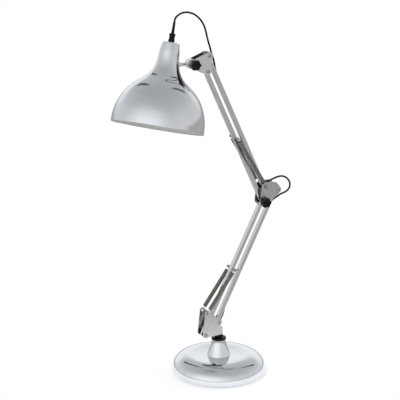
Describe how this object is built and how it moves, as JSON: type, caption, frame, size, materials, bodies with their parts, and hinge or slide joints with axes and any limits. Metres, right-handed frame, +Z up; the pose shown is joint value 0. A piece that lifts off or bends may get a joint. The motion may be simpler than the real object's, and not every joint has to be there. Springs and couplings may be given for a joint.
{
  "type": "swing arm desk lamp",
  "caption": "Desk lamp with a dome shade on two parallelogram arms of square tube, balanced by coil springs, on a round weighted base.",
  "frame": {"origin": "centre of the base's underside, under the spindle", "axes": "+Z up, +X towards the elbow in the arm's plane, +Y towards the side without knobs"},
  "size_m": [0.3844, 0.2045, 0.7333],
  "materials": {
    "chrome_shell": "polished",
    "chrome_tube": "polished",
    "plate_steel": "satin plated",
    "screw_steel": "bright plated",
    "spring_steel": "dull nickel",
    "inner_steel": "zinc plated",
    "iron": "rough cast",
    "black_plastic": "moulded",
    "nylon": "satin",
    "felt": "matt",
    "cord_black": "soft sheath",
    "thread_brass": "nickelled brass"
  },
  "bodies": {
    "root": {"base_cover": "chrome_shell", "base_weight": "iron", "bottom_plate": "inner_steel", "bottom_screws": "inner_steel", "base_pad": "felt", "cord_gland": "nylon", "stem_cone": "chrome_shell", "stem_bush": "nylon", "stem_ring_nut": "inner_steel", "stem_collar": "black_plastic", "base_lead": "cord_black"},
    "lower_bracket": {"spindle": "screw_steel", "spindle_nut": "inner_steel", "bracket_block": "black_plastic", "lower_plate_near": "plate_steel", "lower_plate_far": "plate_steel", "lower_pivot_screws": "screw_steel", "lower_pivot_nuts": "screw_steel", "lower_spacers": "nylon", "stem_lead": "cord_black", "bracket_run": "cord_black"},
    "lower_arm_rear": {"lower_rear_tube": "chrome_tube", "lower_lead": "cord_black", "elbow_loop_b": "cord_black"},
    "lower_arm_front": {"lower_front_tube": "chrome_tube", "lower_spring_pin": "screw_steel", "lower_springs": "spring_steel"},
    "elbow": {"elbow_plate_near": "plate_steel", "elbow_plate_far": "plate_steel", "elbow_screws": "screw_steel", "elbow_nuts": "screw_steel", "elbow_spacers": "nylon", "elbow_loop_a": "cord_black"},
    "elbow_clamp": {"elbow_knob": "black_plastic", "elbow_bolt": "screw_steel"},
    "upper_arm_rear": {"upper_rear_tube": "chrome_tube", "upper_lead": "cord_black", "head_loop_c": "cord_black"},
    "upper_arm_front": {"upper_front_tube": "chrome_tube", "upper_spring_pin": "screw_steel", "upper_springs": "spring_steel"},
    "head_bracket": {"head_plate_near": "plate_steel", "head_plate_far": "plate_steel", "head_screws": "screw_steel", "head_nuts": "screw_steel", "head_spacers": "nylon", "head_loop_b": "cord_black"},
    "head_clamp": {"head_knob": "black_plastic", "head_bolt": "screw_steel"},
    "head_rod": {"head_knuckle": "chrome_tube", "shade_rod": "chrome_tube", "rod_nut": "screw_steel"},
    "shade": {"shade_neck": "chrome_shell", "shade_crown": "chrome_shell", "shade_bell": "chrome_shell", "rod_saddle": "screw_steel", "shade_gland": "nylon", "gland_nut": "inner_steel", "holder_body": "black_plastic", "holder_thread": "thread_brass", "holder_contact": "thread_brass", "head_loop_a": "cord_black"}
  },
  "joints": [
    {"name": "base_swivel", "type": "hinge", "parent": "root", "child": "lower_bracket", "pos_m": [0, 0, 0.08], "axis": [0, 0, 1], "range_deg": [-160, 160]},
    {"name": "lower_arm_tilt", "type": "hinge", "parent": "lower_bracket", "child": "lower_arm_rear", "pos_m": [-0.005, 0, 0.11], "axis": [0, 1, 0], "range_deg": [-40, 12], "deforming": ["bracket_run"]},
    {"name": "lower_front_pivot", "type": "hinge", "parent": "lower_bracket", "child": "lower_arm_front", "pos_m": [-0.035, 0, 0.088], "axis": [0, 1, 0], "range_deg": [-40, 12], "deforming": ["lower_springs"]},
    {"name": "elbow_pivot", "type": "hinge", "parent": "lower_arm_rear", "child": "elbow", "pos_m": [0.12393, 0, 0.37088], "axis": [0, 1, 0], "range_deg": [-12, 40], "deforming": ["elbow_loop_b"]},
    {"name": "upper_arm_tilt", "type": "hinge", "parent": "elbow", "child": "upper_arm_rear", "pos_m": [0.09693, 0, 0.37888], "axis": [0, 1, 0], "range_deg": [-60, 10], "deforming": ["elbow_loop_a"]},
    {"name": "upper_front_pivot", "type": "hinge", "parent": "elbow", "child": "upper_arm_front", "pos_m": [0.09393, 0, 0.34888], "axis": [0, 1, 0], "range_deg": [-60, 10], "deforming": ["upper_springs"]},
    {"name": "head_bracket_pivot", "type": "hinge", "parent": "upper_arm_rear", "child": "head_bracket", "pos_m": [-0.02759, 0, 0.64961], "axis": [0, 1, 0], "range_deg": [-10, 60], "deforming": ["head_loop_c"]},
    {"name": "head_tilt", "type": "hinge", "parent": "head_bracket", "child": "head_rod", "pos_m": [-0.05959, 0, 0.63461], "axis": [0, 1, 0], "range_deg": [-8, 60], "deforming": ["head_loop_b"]},
    {"name": "shade_turn", "type": "hinge", "parent": "head_rod", "child": "shade", "pos_m": [-0.05959, 0, 0.63461], "axis": [1, 0, 0], "range_deg": [-60, 60], "deforming": ["head_loop_a"]},
    {"name": "elbow_knob_turn", "type": "hinge", "parent": "elbow", "child": "elbow_clamp", "pos_m": [0.09393, -0.018, 0.34888], "axis": [0, -1, 0], "range_deg": [-180, 180]},
    {"name": "head_knob_turn", "type": "hinge", "parent": "head_bracket", "child": "head_clamp", "pos_m": [-0.05959, -0.018, 0.63461], "axis": [0, -1, 0], "range_deg": [-180, 180]}
  ],
  "couplings": [
    {"joint": "lower_front_pivot", "follows": "lower_arm_tilt", "ratio": 1},
    {"joint": "elbow_pivot", "follows": "lower_arm_tilt", "ratio": -1},
    {"joint": "upper_front_pivot", "follows": "upper_arm_tilt", "ratio": 1},
    {"joint": "head_bracket_pivot", "follows": "upper_arm_tilt", "ratio": -1}
  ]
}
